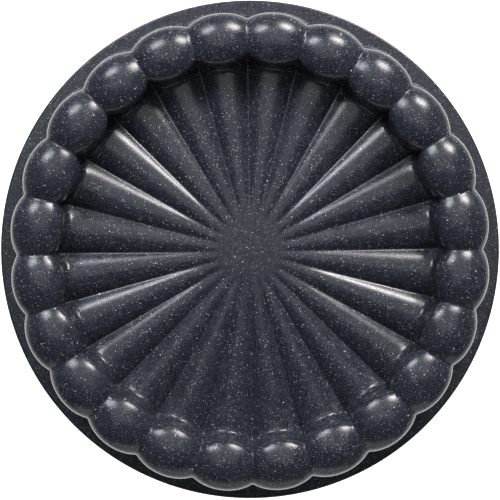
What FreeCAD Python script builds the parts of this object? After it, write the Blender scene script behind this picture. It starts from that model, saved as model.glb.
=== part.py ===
import FreeCAD, Part
import math
import os
from FreeCAD import Vector

# Fluted cake pan with a ring of pearl domes. It stands rim down, the way it is turned out and stored.
# The origin is the centre of the rim face, +Z points up out of the outside, and a groove lies on +X.
# Everything is in millimetres.

# Driving dimensions
rim_radius = 140.0
flange_thickness = 3.6
flange_edge_round = 1.2
pearl_count = 24
post_centre_radius = 117.0
post_half_depth = 14.1
post_half_width = 21.5
post_draft_deg = 6.0
brow_height = 30.0
dome_centre_radius = 115.8
dome_radius = 20.0
dome_half_width = 24.7
pearl_height = 37.7
disc_height = 18.4
disc_radius = 14.0
flute_start = 10.0
flute_apex_height = 18.3
flute_crest_fall = 0.005
flute_groove_fall = 0.062
core_depth = 0.9
core_start = 8.0
core_radius = 113.0
wall = 3.4
coating = 0.4
clearance = 1.0
sew_tolerance = 0.001

# Values worked out from them
half_pitch = math.pi / pearl_count
pitch_deg = 360.0 / pearl_count
lining_inset = coating + wall
hollow_inset = lining_inset + coating


def fall_direction(fall):
    """Unit vector in the mid plane of a flute that drops by this much per millimetre outwards."""
    length = math.hypot(1.0, fall)
    return Vector(1.0 / length, 0.0, -fall / length)


def groove_direction():
    """Unit vector down the bottom of a groove, which lies half a pitch away from the mid plane."""
    length = math.hypot(1.0, flute_groove_fall)
    flat = 1.0 / length
    return Vector(flat * math.cos(half_pitch), flat * math.sin(half_pitch), -flute_groove_fall / length)


def flute_axis():
    """Direction of the flute's axis, at equal angles from its crest line and its two groove lines."""
    across = fall_direction(flute_crest_fall) - groove_direction()
    length = math.hypot(across.x, across.z)
    return Vector(across.z / length, 0.0, -across.x / length)


def wedge(base):
    """The slice of space that one pearl and its flute own, from base to well over the pearls."""
    far = 2.0 * rim_radius
    corners = [
        Vector(0, 0, base),
        Vector(far * math.cos(half_pitch), -far * math.sin(half_pitch), base),
        Vector(far * math.cos(half_pitch), far * math.sin(half_pitch), base),
        Vector(0, 0, base),
    ]
    face = Part.Face(Part.makePolygon(corners))
    return face.extrude(Vector(0, 0, 2.0 * pearl_height))


def flute(inset, base):
    """One flute: a round cone that opens outwards, its crest line almost level with the centre disc."""
    axis = flute_axis()
    half_angle = math.acos(axis.dot(fall_direction(flute_crest_fall)))
    apex_shift = inset / math.sin(half_angle)
    near = apex_shift + flute_start
    far = dome_centre_radius / axis.x
    near_radius = (near - apex_shift) * math.tan(half_angle)
    far_radius = (far - apex_shift) * math.tan(half_angle)
    start = Vector(0, 0, flute_apex_height) + axis * near
    cone = Part.makeCone(near_radius, far_radius, far - near, start, axis)
    low = base + clearance
    slab = Part.makeBox(rim_radius, rim_radius, pearl_height, Vector(0, -rim_radius / 2, low))
    return cone.common(slab)


def core(inset, base):
    """The body under the grooves, with the centre disc on top."""
    drop = inset * math.hypot(1.0, flute_groove_fall) + core_depth
    start_height = flute_apex_height - drop - core_start * flute_groove_fall
    end_height = flute_apex_height - drop - core_radius * flute_groove_fall
    profile = [
        Vector(0, 0, base),
        Vector(core_radius, 0, base),
        Vector(core_radius, 0, end_height),
        Vector(core_start, 0, start_height),
        Vector(0, 0, start_height),
        Vector(0, 0, base),
    ]
    body = Part.Face(Part.makePolygon(profile)).revolve(Vector(0, 0, 0), Vector(0, 0, 1), 360)
    disc = Part.makeCylinder(disc_radius - inset, disc_height - inset - base, Vector(0, 0, base))
    return body.fuse(disc)


def post_outline(inset, height):
    """Outline of a pearl's post in plan: an ellipse that widens downwards by the draft."""
    growth = (brow_height - height) * math.tan(math.radians(post_draft_deg)) - inset
    centre = Vector(post_centre_radius, 0, height)
    along = centre + Vector(0, post_half_width + growth, 0)
    across = centre + Vector(post_half_depth + growth, 0, 0)
    return Part.Wire(Part.Ellipse(along, across, centre).toShape())


def dome_space(inset, base):
    """The space under a pearl's dome: half an ellipse turned over its long axis, on a block down to base."""
    level = pearl_height - dome_radius
    centre = Vector(dome_centre_radius, 0, level)
    side = Vector(0, dome_half_width - inset, 0)
    outward = Vector(dome_radius - inset, 0, 0)
    curve = Part.Ellipse(centre + side, centre + outward, centre)
    half = Part.Edge(curve, math.pi, 2 * math.pi)
    chord = Part.makeLine(half.valueAt(2 * math.pi), half.valueAt(math.pi))
    dome = Part.Face(Part.Wire([half, chord])).revolve(centre, Vector(0, 1, 0), 180)
    corner = Vector(dome_centre_radius - dome_radius - inset, -dome_half_width - inset, base - clearance)
    size = (2 * dome_radius + 2 * inset, 2 * dome_half_width + 2 * inset, level - base + clearance)
    return dome.fuse(Part.makeBox(*size, corner))


def pearl(inset, base):
    """One pearl: a drafted post from base up, closed by a dome with a brow where the two meet."""
    outlines = [post_outline(inset, base), post_outline(inset, pearl_height + clearance)]
    post = Part.makeLoft(outlines, True, True)
    return post.common(dome_space(inset, base))


def rim_plate(inset, base):
    """The flat round flange as a full plate with its corner rounded. The hollow is cut out later."""
    top = flange_thickness - inset
    plate = Part.makeCylinder(rim_radius - inset, top - base, Vector(0, 0, base))
    upper_edges = [edge for edge in plate.Edges if edge.BoundBox.ZMin > top - clearance / 2]
    return plate.makeFillet(flange_edge_round - inset, upper_edges)


def form_slice(inset, base, with_rim):
    """One slice of the outside form, moved inwards by inset and solid down to base."""
    space = wedge(base - clearance)
    slice_solid = pearl(inset, base).common(space).fuse(flute(inset, base).common(space))
    slice_solid = slice_solid.fuse(core(inset, base).common(space))
    if with_rim:
        slice_solid = slice_solid.fuse(rim_plate(inset, base).common(space))
    return slice_solid.removeSplitter()


def layer_slice(outer_inset, inner_inset, outside_rim, inside_rim):
    """The slice of one layer of the wall, between two insets of the form, standing on the rim plane."""
    outside = form_slice(outer_inset, 0.0, outside_rim)
    inside = form_slice(inner_inset, -clearance, inside_rim)
    return outside.cut(inside)


def lies_on_cut(face):
    """True for a face that only exists because the slice was cut from its neighbours."""
    if not isinstance(face.Surface, Part.Plane):
        return False
    for side in (-1, 1):
        normal = Vector(-math.sin(side * half_pitch), math.cos(side * half_pitch), 0)
        parallel = abs(abs(face.Surface.Axis.dot(normal)) - 1.0) < 1e-6
        if parallel and abs(face.CenterOfMass.dot(normal)) < sew_tolerance:
            return True
    return False


def ring_of(slice_solid):
    """All the slices round the axis as one solid: their skins are turned, sewn and closed."""
    skin = [face for face in slice_solid.Faces if not lies_on_cut(face)]
    turned = []
    for index in range(pearl_count):
        copy = Part.makeCompound(skin)
        copy.rotate(Vector(0, 0, 0), Vector(0, 0, 1), pitch_deg * (index + 0.5))
        turned.extend(copy.Faces)
    sewn = Part.makeCompound(turned)
    sewn.sewShape(sew_tolerance)
    largest = max(sewn.Shells, key=lambda shell: len(shell.Faces))
    return Part.makeSolid(largest)


def save(shape, name):
    """Writes one piece and prints what it measures."""
    print(name, shape.isValid(), len(shape.Solids), round(shape.Volume / 1000.0, 2), "cm3", shape.BoundBox)
    shape.exportStep(os.path.join("parts", name + ".step"))


os.makedirs("parts", exist_ok=True)
save(ring_of(layer_slice(0.0, coating, True, True)), "outer_coating")
save(ring_of(layer_slice(coating, lining_inset, True, False)), "pan_casting")
save(ring_of(layer_slice(lining_inset, hollow_inset, False, False)), "inner_coating")
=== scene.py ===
import math

import bpy
import numpy as np
from mathutils import Matrix, Vector


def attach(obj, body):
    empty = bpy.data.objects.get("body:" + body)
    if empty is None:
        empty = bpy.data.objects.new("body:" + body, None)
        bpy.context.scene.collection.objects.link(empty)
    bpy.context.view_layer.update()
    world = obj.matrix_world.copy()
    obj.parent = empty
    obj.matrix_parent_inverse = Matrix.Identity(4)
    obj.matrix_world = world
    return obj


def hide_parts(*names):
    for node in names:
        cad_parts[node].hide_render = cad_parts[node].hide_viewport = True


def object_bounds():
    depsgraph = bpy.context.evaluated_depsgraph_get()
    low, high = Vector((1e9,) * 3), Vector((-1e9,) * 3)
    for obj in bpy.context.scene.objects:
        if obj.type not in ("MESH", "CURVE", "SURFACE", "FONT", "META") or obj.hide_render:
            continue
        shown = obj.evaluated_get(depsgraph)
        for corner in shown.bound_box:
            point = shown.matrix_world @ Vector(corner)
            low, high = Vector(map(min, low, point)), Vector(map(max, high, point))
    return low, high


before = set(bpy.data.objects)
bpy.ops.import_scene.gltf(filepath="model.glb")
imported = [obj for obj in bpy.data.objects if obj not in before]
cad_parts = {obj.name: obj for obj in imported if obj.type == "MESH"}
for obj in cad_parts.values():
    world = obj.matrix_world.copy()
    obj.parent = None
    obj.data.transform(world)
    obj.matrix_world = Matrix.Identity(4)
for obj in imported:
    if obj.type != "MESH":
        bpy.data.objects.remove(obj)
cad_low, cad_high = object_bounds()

# The whole pan is one round of equal sectors, each with one pearl and one flute.
# All sizes are in metres. The rim radius and the height come from the frame.
MM = 0.001
RIM_RADIUS = (cad_high.x - cad_low.x) / 2
TOP_HEIGHT = cad_high.z
SECTORS = 24
HALF_PITCH = math.pi / SECTORS

# Pearls: drafted posts, their plan given at the brow's height, and the shallow domes that close them.
# A post turns from its inner to its outer shape over SIDE_CHANGE of its half-depth each way.
POST_CENTRE = 116.7 * MM
POST_RADIAL = 14.4 * MM
POST_INNER_WIDTH = 18.8 * MM
POST_OUTER_WIDTH = 21.8 * MM
BROW_HEIGHT = 30.0 * MM
INNER_DRAFT = math.tan(math.radians(2.5))
OUTER_DRAFT = math.tan(math.radians(6.0))
DOME_CENTRE = 115.8 * MM
DOME_RADIUS = 20.0 * MM
DOME_WIDTH = 24.7 * MM
SIDE_CHANGE = 0.8
CENTRE_GUARD = 1e-4

# Flutes and the flat disc that they run out from
DISC_RADIUS = 14.8 * MM
DISC_HEIGHT = 18.2 * MM
CREST_FALL = 0.005
GROOVE_DEEPENING = 0.0665
CREST_EASE = 6.0 * MM
GROOVE_EASE = 2.0 * MM
LEAST_GROOVE = 0.002 * MM
FLUTE_REACH = 117.0 * MM

# Flange
FLANGE_TOP = 3.6 * MM
FLANGE_ROUND = 1.2 * MM

# Wall and coats
COAT = 0.4 * MM
CASTING = 3.4 * MM
COAT_END_ROUND = 0.3 * MM
COAT_GAP = 0.02 * MM
EDGE_LEAD = 0.8 * MM
INNER_REACH = 133.5 * MM

# Blend widths where forms meet, and the factor that turns height over the hollow's core into distance
GROOVE_BLEND = 0.8 * MM
PEARL_BLEND = 0.7 * MM
OUTER_BROW_BLEND = 1.5 * MM
INNER_BROW_BLEND = 2.2 * MM
FOOT_BLEND = 3.6 * MM
FLANGE_BLEND = 1.0 * MM
INSIDE_BLEND = 3.0 * MM
CORE_SLOPE = 0.97

# Mesh density: columns in half a sector, rows along a profile, and the rings that thin out to the centre
HALF_STEPS = 10
CREASE_CROWDING = 1.5
OUTER_ROWS = 86
INNER_ROWS = 66
RIM_FACE_STEPS = 8
FLANGE_ROUND_STEPS = 5
FLANGE_SIDE_STEPS = 2
FOOT_STEPS = 3
CENTRE_RADIUS = 6.0 * MM
CENTRE_RINGS = ((4.4 * MM, 3), (2.8 * MM, 4), (1.2 * MM, 4))
CENTRE_RISE = 0.06 * MM

# Tracing of the profiles: rough scan, softened guide line, and the search from the guide to the form
SCAN_STEP = 0.25 * MM
GUIDE_STEP = 0.25 * MM
GUIDE_SOFTNESS = 1.0 * MM
SOFTNESS_REACH = 4
LEAST_POINTS = 8
TURN_WEIGHT = 16.0 * MM
SEARCH_START = 1.6 * MM
SEARCH_ROUNDS = 60
SEARCH_SHARE = 0.8

# Release coat: its two body colours, its fleck layers as (pitch, share of the cells that hold one,
# largest radius as a share of the pitch), and its finish
COAT_DARK = (0.0095, 0.0102, 0.0145)
COAT_LIGHT = (0.0165, 0.0176, 0.0248)
FLECKS = ((2.8 * MM, 0.6, 0.145), (1.5 * MM, 0.55, 0.165), (0.82 * MM, 0.55, 0.24))
FLECK_DARK = (0.16, 0.17, 0.19)
FLECK_LIGHT = (0.95, 0.95, 0.96)
FLECK_LEAST = 0.4
FLECK_CRISPNESS = 14.0
MOTTLE_SCALE = 160.0
GRAIN_SCALE = 1500.0
GRAIN_GAIN = 4.0
OUTSIDE_ROUGHNESS = 0.245
LINING_ROUGHNESS = 0.42
COAT_SPECULAR = 0.38
COAT_BUMP = 0.2

# Bare casting: greys of its patches, and its sandy skin
PATCH_SCALE = 90.0
PATCH_DULL = (0.52, 0.53, 0.55)
PATCH_BRIGHT = (0.68, 0.68, 0.69)
SAND_SCALE = 2200.0
SAND_BUMP = 0.4
BUMP_DEPTH = 0.1 * MM

# Places of colour A, colour B and the colour result on a Mix node
MIX_LOW = 6
MIX_HIGH = 7
MIX_RESULT = 2

# Camera: a long lens, rolled a little, aimed part of the way out to the point under it
CAMERA_HEIGHT = 900.0 * MM
CAMERA_OFFSET = 38.5 * MM
AIM_SHARE = 0.5
CAMERA_ROLL = math.radians(0.7)
IMAGE_SIZE = 500
FOCAL_PIXELS = 1598.8
SENSOR = 36.0
CLIP_START = 0.05
CLIP_END = 20.0

# Floor: its grey, and its glow, a painted pool of light that is bright round the pan and fades between two
# distances from the centre
FLOOR_SIZE = 8.0
FLOOR_GAP = 0.05 * MM
FLOOR_GREY = 0.4
FLOOR_ROUGHNESS = 0.9
FLOOR_GLOW = 1.6
FLOOR_FAR_SHARE = 0.25
FLOOR_BRIGHT = 0.21
FLOOR_DIM = 0.4

# Soft boxes as (name, azimuth, elevation, distance, size, power, colour), and the room round them
SOFTBOXES = (
    ("key_box", 28.0, 33.0, 2.0, (0.7, 0.5), 46.0, (1.0, 0.99, 0.97)),
    ("second_box", -31.0, 40.0, 2.0, (0.75, 0.5), 26.0, (0.9, 0.95, 1.0)),
    ("front_box", 180.0, 10.0, 2.2, (2.4, 0.6), 6.5, (0.95, 0.97, 1.0)),
    ("ceiling_box", 0.0, 69.0, 2.2, (2.4, 2.2), 20.0, (0.95, 0.98, 1.0)),
)
ROOM_COLOUR = (0.8, 0.85, 1.0, 1.0)
ROOM_STRENGTH = 0.08


# ---------------------------------------------------------------- form of the pan

def eased_ramp(value, ease):
    """Zero below zero and value above it, with a soft turn between."""
    return (value + np.sqrt(value * value + ease * ease)) / 2


def smooth_step(value):
    """Rises from 0 to 1 while value does, level at both ends."""
    value = np.clip(value, 0.0, 1.0)
    return value * value * (3.0 - 2.0 * value)


def smooth_union(first, second, width):
    """Distance to two joined forms with a fillet of about this width in the corner."""
    overlap = np.maximum(width - np.abs(first - second), 0.0) / width
    return np.minimum(first, second) - overlap * overlap * width / 4


def crest_height(radius):
    """Height of a flute's crest line: level on the disc, then falling evenly outwards."""
    return DISC_HEIGHT - CREST_FALL * eased_ramp(radius - DISC_RADIUS, CREST_EASE)


def groove_depth(radius):
    """How far the groove lies below the crest at this radius."""
    return GROOVE_DEEPENING * eased_ramp(radius - DISC_RADIUS, GROOVE_EASE) + LEAST_GROOVE


def flute_distance(radius, height, angle):
    """Distance to a flute whose section is an arc as wide as the sector and as deep as the groove."""
    half_width = radius * math.sin(HALF_PITCH)
    depth = groove_depth(radius)
    arc_radius = (half_width ** 2 + depth ** 2) / (2 * depth)
    centre_height = crest_height(radius) - arc_radius
    across = np.abs(radius * np.sin(angle))
    above = np.hypot(across, height - centre_height) - arc_radius
    return np.where(height > centre_height, above, across - arc_radius)


def oval_distance(*spans):
    """Distance to an ellipse or an egg, from pairs of an offset along an axis and its half-length."""
    slope_guard = CENTRE_GUARD / spans[0][1] ** 2
    scaled = np.sqrt(sum((offset / half) ** 2 for offset, half in spans) + CENTRE_GUARD)
    slope = np.sqrt(sum((offset / half ** 2) ** 2 for offset, half in spans) + slope_guard)
    return scaled * (scaled - 1.0) / slope


def pearl_distance(radius, height, angle):
    """Distance to one pearl: a post that widens downwards, closed by a dome with a soft brow."""
    outward = radius * np.cos(angle)
    across = radius * np.sin(angle)
    share = smooth_step(((outward - POST_CENTRE) / POST_RADIAL + SIDE_CHANGE) / (2 * SIDE_CHANGE))
    width = POST_INNER_WIDTH + (POST_OUTER_WIDTH - POST_INNER_WIDTH) * share
    post = oval_distance((outward - POST_CENTRE, POST_RADIAL), (across, width))
    draft = INNER_DRAFT + (OUTER_DRAFT - INNER_DRAFT) * share
    post = post - draft * (BROW_HEIGHT - height)
    rise = np.maximum(height - TOP_HEIGHT + DOME_RADIUS, 0.0)
    dome = oval_distance((outward - DOME_CENTRE, DOME_RADIUS), (across, DOME_WIDTH), (rise, DOME_RADIUS))
    blend = INNER_BROW_BLEND + (OUTER_BROW_BLEND - INNER_BROW_BLEND) * share
    return -smooth_union(-post, -dome, blend)


def sector_pair(distance, radius, height, angle, width):
    """One sector's form joined to its neighbour's, with a small fillet in the crease between them."""
    own = distance(radius, height, angle)
    neighbour = distance(radius, height, 2 * HALF_PITCH - angle)
    return smooth_union(own, neighbour, width)


def outside_distance(radius, height, angle):
    """Distance to the outside of the pan, positive in the air. Angles are counted from a pearl's middle."""
    flutes = sector_pair(flute_distance, radius, height, angle, GROOVE_BLEND)
    flutes = np.maximum(flutes, radius - FLUTE_REACH)
    pearls = sector_pair(pearl_distance, radius, height, angle, PEARL_BLEND)
    body = smooth_union(flutes, pearls, FOOT_BLEND)
    return smooth_union(body, height - FLANGE_TOP, FLANGE_BLEND)


def inside_distance(radius, height, angle):
    """Distance to the form that the hollow follows: the outside with its corners filled more softly."""
    flutes = sector_pair(flute_distance, radius, height, angle, INSIDE_BLEND)
    groove_height = crest_height(radius) - groove_depth(radius)
    core = (height - groove_height) * CORE_SLOPE
    flutes = smooth_union(flutes, core, INSIDE_BLEND)
    flutes = np.maximum(flutes, radius - FLUTE_REACH)
    pearls = sector_pair(pearl_distance, radius, height, angle, INSIDE_BLEND)
    return smooth_union(flutes, pearls, INSIDE_BLEND)


# ---------------------------------------------------------------- profiles

def upper_line(distance, angle, last_radius):
    """The form's topmost height at each radius, as a rough line from the centre outwards."""
    radii = np.arange(CENTRE_RADIUS, last_radius + SCAN_STEP / 2, SCAN_STEP)
    heights = np.arange(TOP_HEIGHT + SCAN_STEP, -SCAN_STEP, -SCAN_STEP)
    grid_radius, grid_height = np.meshgrid(radii, heights, indexing="ij")
    solid = distance(grid_radius, grid_height, angle) < 0
    first = np.argmax(solid, axis=1)
    found = solid.any(axis=1)
    return radii[found], heights[first[found]] + SCAN_STEP / 2


def evened(line, step):
    """The same line with evenly spaced points, about a step apart."""
    gaps = np.hypot(*np.diff(line, axis=0).T)
    along = np.concatenate([[0.0], np.cumsum(gaps)])
    places = np.linspace(0.0, along[-1], max(int(along[-1] / step), LEAST_POINTS))
    return np.stack([np.interp(places, along, line[:, axis]) for axis in (0, 1)], axis=1)


def softened(line, step, softness):
    """The line with its corners rounded, and its two ends kept."""
    reach = int(SOFTNESS_REACH * softness / step)
    offsets = np.arange(-reach, reach + 1) * step
    weights = np.exp(-0.5 * (offsets / softness) ** 2)
    weights /= weights.sum()
    columns = []
    for axis in (0, 1):
        values = line[:, axis]
        before = 2 * values[0] - values[reach:0:-1]
        after = 2 * values[-1] - values[-2:-reach - 2:-1]
        padded = np.concatenate([before, values, after])
        columns.append(np.convolve(padded, weights, mode="valid"))
    return np.stack(columns, axis=1)


def guide(distance, angle, last_radius, floor):
    """A soft line along the form at this angle, down to the floor if one is given, with its normals."""
    radii, heights = upper_line(distance, angle, last_radius)
    line = np.stack([radii, heights], axis=1)
    if floor is not None:
        line = np.concatenate([line, [[radii[-1] + SCAN_STEP, floor]]])
    line = evened(line, GUIDE_STEP)
    line = softened(line, GUIDE_STEP, GUIDE_SOFTNESS)
    tangent = np.gradient(line, axis=0)
    tangent /= np.hypot(*tangent.T)[:, None]
    normal = np.stack([-tangent[:, 1], tangent[:, 0]], axis=1)
    return line, normal


def crowded_places(normal, count):
    """Places along a guide, closer together where it turns."""
    turning = np.unwrap(np.arctan2(normal[:, 1], normal[:, 0]))
    turn = np.abs(np.gradient(turning))
    weight = 1.0 + turn * TURN_WEIGHT / GUIDE_STEP
    total = np.concatenate([[0.0], np.cumsum((weight[1:] + weight[:-1]) / 2)])
    return np.interp(np.linspace(0.0, total[-1], count), total, np.arange(len(total)))


def profile(distance, angle, last_radius, floor, count):
    """Points on the form itself at this angle, from the centre outwards."""
    line, normal = guide(distance, angle, last_radius, floor)
    places = crowded_places(normal, count)
    index = np.arange(len(line))
    start = np.stack([np.interp(places, index, line[:, axis]) for axis in (0, 1)], axis=1)
    toward = np.stack([np.interp(places, index, normal[:, axis]) for axis in (0, 1)], axis=1)
    toward /= np.hypot(*toward.T)[:, None]
    point = start + toward * SEARCH_START
    for _ in range(SEARCH_ROUNDS):
        gap = distance(point[:, 0], point[:, 1], angle)
        point = point - toward * gap[:, None] * SEARCH_SHARE
    return point


# ---------------------------------------------------------------- skins and layers

def shifted(distance, inset):
    """The same form moved inwards by inset."""
    def moved(radius, height, angle):
        return distance(radius, height, angle) + inset
    return moved


def column_angles():
    """Angles of the columns in half a sector, from the pearl's middle out, closer near the crease."""
    share = np.linspace(0.0, 1.0, HALF_STEPS + 1)
    return HALF_PITCH * (1.0 - (1.0 - share) ** CREASE_CROWDING)


def arc(centre_radius, centre_height, size, start, end, steps):
    """Points of an arc in the profile plane, with angles in degrees from the outward direction."""
    turns = np.radians(np.linspace(start, end, steps + 1))
    return np.stack([centre_radius + size * np.cos(turns), centre_height + size * np.sin(turns)], axis=1)


def straight(start, end, steps):
    """Points along a straight line, without its first point."""
    share = np.linspace(0.0, 1.0, steps + 1)[1:, None]
    return np.array(start) + share * (np.array(end) - np.array(start))


def flange_edge(inset, foot_round):
    """The flange's rounded edge from its top face down to the foot, moved inwards by inset."""
    corner = FLANGE_ROUND - inset
    side = RIM_RADIUS - inset
    top = arc(RIM_RADIUS - FLANGE_ROUND, FLANGE_TOP - FLANGE_ROUND, corner, 90, 0, FLANGE_ROUND_STEPS)
    wall_top = (side, FLANGE_TOP - FLANGE_ROUND)
    wall_foot = (side, foot_round)
    lines = [top, straight(wall_top, wall_foot, FLANGE_SIDE_STEPS)]
    if foot_round > 0:
        lines.append(arc(side - foot_round, foot_round, foot_round, 0, -90, FOOT_STEPS)[1:])
    return np.concatenate(lines)


def outer_columns(inset, foot_round):
    """Profiles of the outside, moved inwards by inset, from the centre to the flange's foot."""
    edge = flange_edge(inset, foot_round)
    last = edge[0, 0] - EDGE_LEAD
    form = shifted(outside_distance, inset)
    return [
        np.concatenate([profile(form, angle, last, None, OUTER_ROWS), edge])
        for angle in column_angles()
    ]


def inner_columns(inset, foot_round, rim_end):
    """Profiles of the hollow from the centre to its mouth, and along the rim face if rim_end is given."""
    form = shifted(inside_distance, inset)
    columns = []
    for angle in column_angles():
        line = profile(form, angle, INNER_REACH, foot_round, INNER_ROWS)
        line[-1, 1] = foot_round
        if foot_round > 0:
            mouth = line[-1, 0] + foot_round
            turn = arc(mouth, foot_round, foot_round, 180, 270, FOOT_STEPS)
            line = np.concatenate([line, turn[1:]])
        if rim_end is not None:
            line = np.concatenate([line, straight(line[-1], (rim_end, 0.0), RIM_FACE_STEPS)])
        columns.append(line)
    return columns


def full_round(profiles):
    """Every column of the whole pan, counter-clockwise from above, as points in space."""
    angles = column_angles()
    columns = []
    for sector in range(SECTORS):
        middle = (2 * sector + 1) * HALF_PITCH
        for step in range(-HALF_STEPS, HALF_STEPS):
            angle = middle + math.copysign(angles[abs(step)], step)
            radius, height = profiles[abs(step)].T
            column = [radius * math.cos(angle), radius * math.sin(angle), height]
            columns.append(np.stack(column, axis=1))
    return np.array(columns)


def thin_to_centre(points, faces, ring, height, rise):
    """Adds rings of fewer and fewer points to a skin, from its first ring in to its centre."""
    for radius, share in CENTRE_RINGS:
        size = len(ring) // share
        level = height + rise * (1.0 - (radius / CENTRE_RADIUS) ** 2)
        start = len(points)
        for place in range(size):
            x, y, _ = points[ring[place * share]]
            angle = math.atan2(y, x)
            points.append([radius * math.cos(angle), radius * math.sin(angle), level])
        inner = list(range(start, start + size))
        for place in range(size):
            outer = [ring[(place * share + step) % len(ring)] for step in range(share + 1)]
            faces.append([inner[place], *outer, inner[(place + 1) % size]])
        ring = inner
    faces.append(ring)


def skin(columns, upward):
    """Points and faces of one skin, and its last ring: the grid of columns, closed at the centre."""
    count, rows, _ = columns.shape
    points = columns.reshape(-1, 3).tolist()
    index = np.arange(count * rows).reshape(count, rows)
    ahead = np.roll(index, -1, axis=0)
    quads = np.stack([index[:, :-1], index[:, 1:], ahead[:, 1:], ahead[:, :-1]], axis=-1)
    faces = quads.reshape(-1, 4).tolist()
    rise = CENTRE_RISE if upward else 0.0
    thin_to_centre(points, faces, index[:, 0].tolist(), columns[:, 0, 2].mean(), rise)
    if not upward:
        faces = [face[::-1] for face in faces]
    return points, faces, index[:, -1].tolist()


def layer(name, front, back, material):
    """A closed layer between two skins, front the upper one and back the lower one."""
    points, faces, front_end = skin(full_round(front), True)
    more_points, more_faces, back_end = skin(full_round(back), False)
    offset = len(points)
    points += more_points
    faces += [[corner + offset for corner in face] for face in more_faces]
    back_end = [corner + offset for corner in back_end]
    for place, corner in enumerate(front_end):
        following = (place + 1) % len(front_end)
        faces.append([corner, back_end[place], back_end[following], front_end[following]])
    mesh = bpy.data.meshes.new(name)
    mesh.from_pydata(points, [], faces)
    mesh.shade_smooth()
    mesh.materials.append(material)
    piece = bpy.data.objects.new(name, mesh)
    bpy.context.scene.collection.objects.link(piece)
    return piece


# ---------------------------------------------------------------- materials

def new_material(name):
    """A material with its Principled shader, ready for its nodes."""
    material = bpy.data.materials.new(name)
    material.use_nodes = True
    tree = material.node_tree
    return material, tree, tree.nodes["Principled BSDF"]


def node(tree, kind, **inputs):
    """A node with some of its inputs set by name."""
    made = tree.nodes.new(kind)
    for name, value in inputs.items():
        made.inputs[name.replace("_", " ")].default_value = value
    return made


def ramp(tree, factor, stops):
    """A colour ramp over factor, with its stops as (place, grey or colour)."""
    made = tree.nodes.new("ShaderNodeValToRGB")
    tree.links.new(factor, made.inputs["Fac"])
    elements = made.color_ramp.elements
    while len(elements) < len(stops):
        elements.new(0.5)
    for element, (place, value) in zip(elements, stops):
        colour = value if isinstance(value, tuple) else (value, value, value)
        element.position = place
        element.color = (*colour, 1.0)
    return made.outputs["Color"]


def blended(tree, factor, low, high):
    """A mix of two colours, given as colours or sockets."""
    made = tree.nodes.new("ShaderNodeMix")
    made.data_type = "RGBA"
    tree.links.new(factor, made.inputs["Factor"])
    for place, value in ((MIX_LOW, low), (MIX_HIGH, high)):
        if isinstance(value, tuple):
            made.inputs[place].default_value = (*value, 1.0)
        else:
            tree.links.new(value, made.inputs[place])
    return made.outputs[MIX_RESULT]


def calculated(tree, operation, first, second):
    """A math node on sockets or numbers."""
    made = tree.nodes.new("ShaderNodeMath")
    made.operation = operation
    for place, value in enumerate((first, second)):
        if isinstance(value, (int, float)):
            made.inputs[place].default_value = value
        else:
            tree.links.new(value, made.inputs[place])
    return made.outputs["Value"]


def flecks(tree, position, pitch, share, size):
    """Mask of small stone flecks in a share of the cells of this pitch, and a random shade for each."""
    cells = node(tree, "ShaderNodeTexVoronoi", Scale=1.0 / pitch, Randomness=1.0)
    tree.links.new(position, cells.inputs["Vector"])
    random = tree.nodes.new("ShaderNodeSeparateColor")
    tree.links.new(cells.outputs["Color"], random.inputs["Color"])
    present = calculated(tree, "LESS_THAN", random.outputs["Red"], share)
    reach = calculated(tree, "MULTIPLY", random.outputs["Green"], size * (1.0 - FLECK_LEAST))
    reach = calculated(tree, "ADD", reach, size * FLECK_LEAST)
    inside = calculated(tree, "SUBTRACT", reach, cells.outputs["Distance"])
    inside = calculated(tree, "MULTIPLY", inside, FLECK_CRISPNESS)
    inside = calculated(tree, "MAXIMUM", inside, 0.0)
    inside = calculated(tree, "MINIMUM", inside, 1.0)
    return calculated(tree, "MULTIPLY", inside, present), random.outputs["Blue"]


def stone_coat(name, roughness):
    """Satin release coat: charcoal with a faint mottle, a sprayed grain and three sizes of pale flecks."""
    material, tree, shader = new_material(name)
    position = tree.nodes.new("ShaderNodeTexCoord").outputs["Object"]
    mottle = node(tree, "ShaderNodeTexNoise", Scale=MOTTLE_SCALE, Detail=4.0, Roughness=0.6)
    tree.links.new(position, mottle.inputs["Vector"])
    grain = node(tree, "ShaderNodeTexNoise", Scale=GRAIN_SCALE, Detail=3.0, Roughness=0.7)
    tree.links.new(position, grain.inputs["Vector"])
    mottled = ramp(tree, mottle.outputs["Fac"], ((0.35, 0.0), (0.65, 1.0)))
    colour = blended(tree, mottled, COAT_DARK, COAT_LIGHT)
    grainy = ramp(tree, grain.outputs["Fac"], ((0.5, 0.0), (0.72, 1.0)))
    grain_colour = tuple(channel * GRAIN_GAIN for channel in COAT_LIGHT)
    colour = blended(tree, grainy, colour, grain_colour)
    for pitch, share, size in FLECKS:
        mask, random = flecks(tree, position, pitch, share, size)
        shade = ramp(tree, random, ((0.0, FLECK_DARK), (1.0, FLECK_LIGHT)))
        colour = blended(tree, mask, colour, shade)
    tree.links.new(colour, shader.inputs["Base Color"])
    gloss = ramp(tree, mottle.outputs["Fac"], ((0.3, roughness - 0.03), (0.7, roughness + 0.05)))
    tree.links.new(gloss, shader.inputs["Roughness"])
    shader.inputs["Specular IOR Level"].default_value = COAT_SPECULAR
    bump = node(tree, "ShaderNodeBump", Strength=COAT_BUMP, Distance=BUMP_DEPTH)
    tree.links.new(grain.outputs["Fac"], bump.inputs["Height"])
    tree.links.new(bump.outputs["Normal"], shader.inputs["Normal"])
    return material


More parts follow.
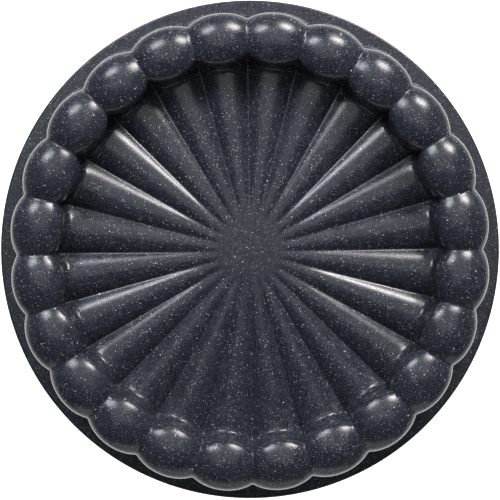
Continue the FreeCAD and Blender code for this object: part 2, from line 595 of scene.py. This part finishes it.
def cast_aluminium():
    """Bare die-cast aluminium with a fine sandy skin and duller patches."""
    material, tree, shader = new_material("cast_aluminium")
    position = tree.nodes.new("ShaderNodeTexCoord").outputs["Object"]
    patches = node(tree, "ShaderNodeTexNoise", Scale=PATCH_SCALE, Detail=5.0, Roughness=0.55)
    sand = node(tree, "ShaderNodeTexNoise", Scale=SAND_SCALE, Detail=2.0, Roughness=0.6)
    for texture in (patches, sand):
        tree.links.new(position, texture.inputs["Vector"])
    shade = ramp(tree, patches.outputs["Fac"], ((0.3, PATCH_DULL), (0.7, PATCH_BRIGHT)))
    tree.links.new(shade, shader.inputs["Base Color"])
    gloss = ramp(tree, patches.outputs["Fac"], ((0.3, 0.5), (0.7, 0.38)))
    tree.links.new(gloss, shader.inputs["Roughness"])
    shader.inputs["Metallic"].default_value = 1.0
    bump = node(tree, "ShaderNodeBump", Strength=SAND_BUMP, Distance=BUMP_DEPTH)
    tree.links.new(sand.outputs["Fac"], bump.inputs["Height"])
    tree.links.new(bump.outputs["Normal"], shader.inputs["Normal"])
    return material


# ---------------------------------------------------------------- the pan

def build_pan():
    """The three layers of the pan wall, each standing for its CAD node."""
    lining_inset = COAT + CASTING
    hollow_inset = lining_inset + COAT
    outside = outer_columns(0.0, COAT_END_ROUND)
    outside_back = outer_columns(COAT - COAT_GAP, 0.0)
    casting_front = outer_columns(COAT, 0.0)
    casting_back = inner_columns(lining_inset, 0.0, RIM_RADIUS - 2 * COAT)
    lining_front = inner_columns(lining_inset + COAT_GAP, 0.0, None)
    lining_back = inner_columns(hollow_inset, COAT_END_ROUND, None)
    charcoal = stone_coat("speckled_charcoal_coat", OUTSIDE_ROUGHNESS)
    lining = stone_coat("release_coat_inside", LINING_ROUGHNESS)
    parts = (
        ("speckled_outer_coat", outside, outside_back, charcoal, "outer_coating", "speckled_coat"),
        ("cast_aluminium_wall", casting_front, casting_back, cast_aluminium(), "pan_casting", "cast_wall"),
        ("release_coat_lining", lining_front, lining_back, lining, "inner_coating", "release_coat"),
    )
    for name, front, back, material, cad_node, slot in parts:
        piece = layer(name, front, back, material)
        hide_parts(cad_node)
        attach(piece, "root")


# ---------------------------------------------------------------- camera, floor and light

def place_camera():
    """A long lens nearly straight above the pan, a little towards +Y, which is up in the picture."""
    data = bpy.data.cameras.new("camera")
    camera = bpy.data.objects.new("camera", data)
    bpy.context.scene.collection.objects.link(camera)
    upward = Vector((math.sin(CAMERA_ROLL), math.cos(CAMERA_ROLL), 0.0))
    location = upward * CAMERA_OFFSET + Vector((0.0, 0.0, CAMERA_HEIGHT))
    aim = upward * CAMERA_OFFSET * AIM_SHARE
    back = (location - aim).normalized()
    right = upward.cross(back).normalized()
    camera.rotation_mode = "QUATERNION"
    rotation = Matrix((right, back.cross(right), back)).transposed()
    camera.rotation_quaternion = rotation.to_quaternion()
    camera.location = location
    data.sensor_width = SENSOR
    data.lens = SENSOR * FOCAL_PIXELS / IMAGE_SIZE
    data.shift_y = -CAMERA_OFFSET * AIM_SHARE / CAMERA_HEIGHT * FOCAL_PIXELS / IMAGE_SIZE
    data.clip_start = CLIP_START
    data.clip_end = CLIP_END
    bpy.context.scene.camera = camera


def direction(azimuth, elevation):
    """Unit vector at an azimuth, clockwise from +Y seen from above, and an elevation."""
    turn = math.radians(azimuth)
    lift = math.radians(elevation)
    return Vector((math.sin(turn) * math.cos(lift), math.cos(turn) * math.cos(lift), math.sin(lift)))


def softbox(name, azimuth, elevation, distance, size, power, colour):
    """A rectangular area light that faces the pan."""
    data = bpy.data.lights.new(name, "AREA")
    data.shape = "RECTANGLE"
    data.size, data.size_y = size
    data.energy = power
    data.color = colour
    lamp = bpy.data.objects.new(name, data)
    bpy.context.scene.collection.objects.link(lamp)
    toward = direction(azimuth, elevation)
    lamp.location = toward * distance
    lamp.rotation_mode = "QUATERNION"
    lamp.rotation_quaternion = toward.to_track_quat("Z", "Y")


def lay_floor():
    """A large pale floor with a painted pool of light: it glows white round the pan and less further out.
    """
    mesh = bpy.data.meshes.new("pale_floor")
    half = FLOOR_SIZE / 2
    corners = [(-half, -half, 0), (half, -half, 0), (half, half, 0), (-half, half, 0)]
    mesh.from_pydata(corners, [], [(0, 1, 2, 3)])
    floor = bpy.data.objects.new("pale_floor", mesh)
    bpy.context.scene.collection.objects.link(floor)
    floor.location.z = -FLOOR_GAP
    material, tree, shader = new_material("pale_floor")
    position = tree.nodes.new("ShaderNodeTexCoord").outputs["Object"]
    reach = tree.nodes.new("ShaderNodeVectorMath")
    reach.operation = "LENGTH"
    tree.links.new(position, reach.inputs[0])
    # Painted pool of light: the floor's emission is full near the pan and fades to a share further out,
    # standing in for light falling round the pan.
    painted_light_pool = ramp(tree, reach.outputs["Value"], ((FLOOR_BRIGHT, 1.0), (FLOOR_DIM, FLOOR_FAR_SHARE)))
    tree.links.new(painted_light_pool, shader.inputs["Emission Color"])
    shader.inputs["Base Color"].default_value = (FLOOR_GREY, FLOOR_GREY, FLOOR_GREY, 1.0)
    shader.inputs["Roughness"].default_value = FLOOR_ROUGHNESS
    shader.inputs["Specular IOR Level"].default_value = 0.0
    shader.inputs["Emission Strength"].default_value = FLOOR_GLOW
    mesh.materials.append(material)


def light_studio():
    """Two soft boxes on the far side, a low one in front, a large one overhead, and a dim room."""
    for settings in SOFTBOXES:
        softbox(*settings)
    world = bpy.data.worlds.new("studio")
    world.use_nodes = True
    background = world.node_tree.nodes["Background"]
    background.inputs["Color"].default_value = ROOM_COLOUR
    background.inputs["Strength"].default_value = ROOM_STRENGTH
    bpy.context.scene.world = world
    bpy.context.scene.view_settings.view_transform = "Standard"


build_pan()
place_camera()
lay_floor()
light_studio()
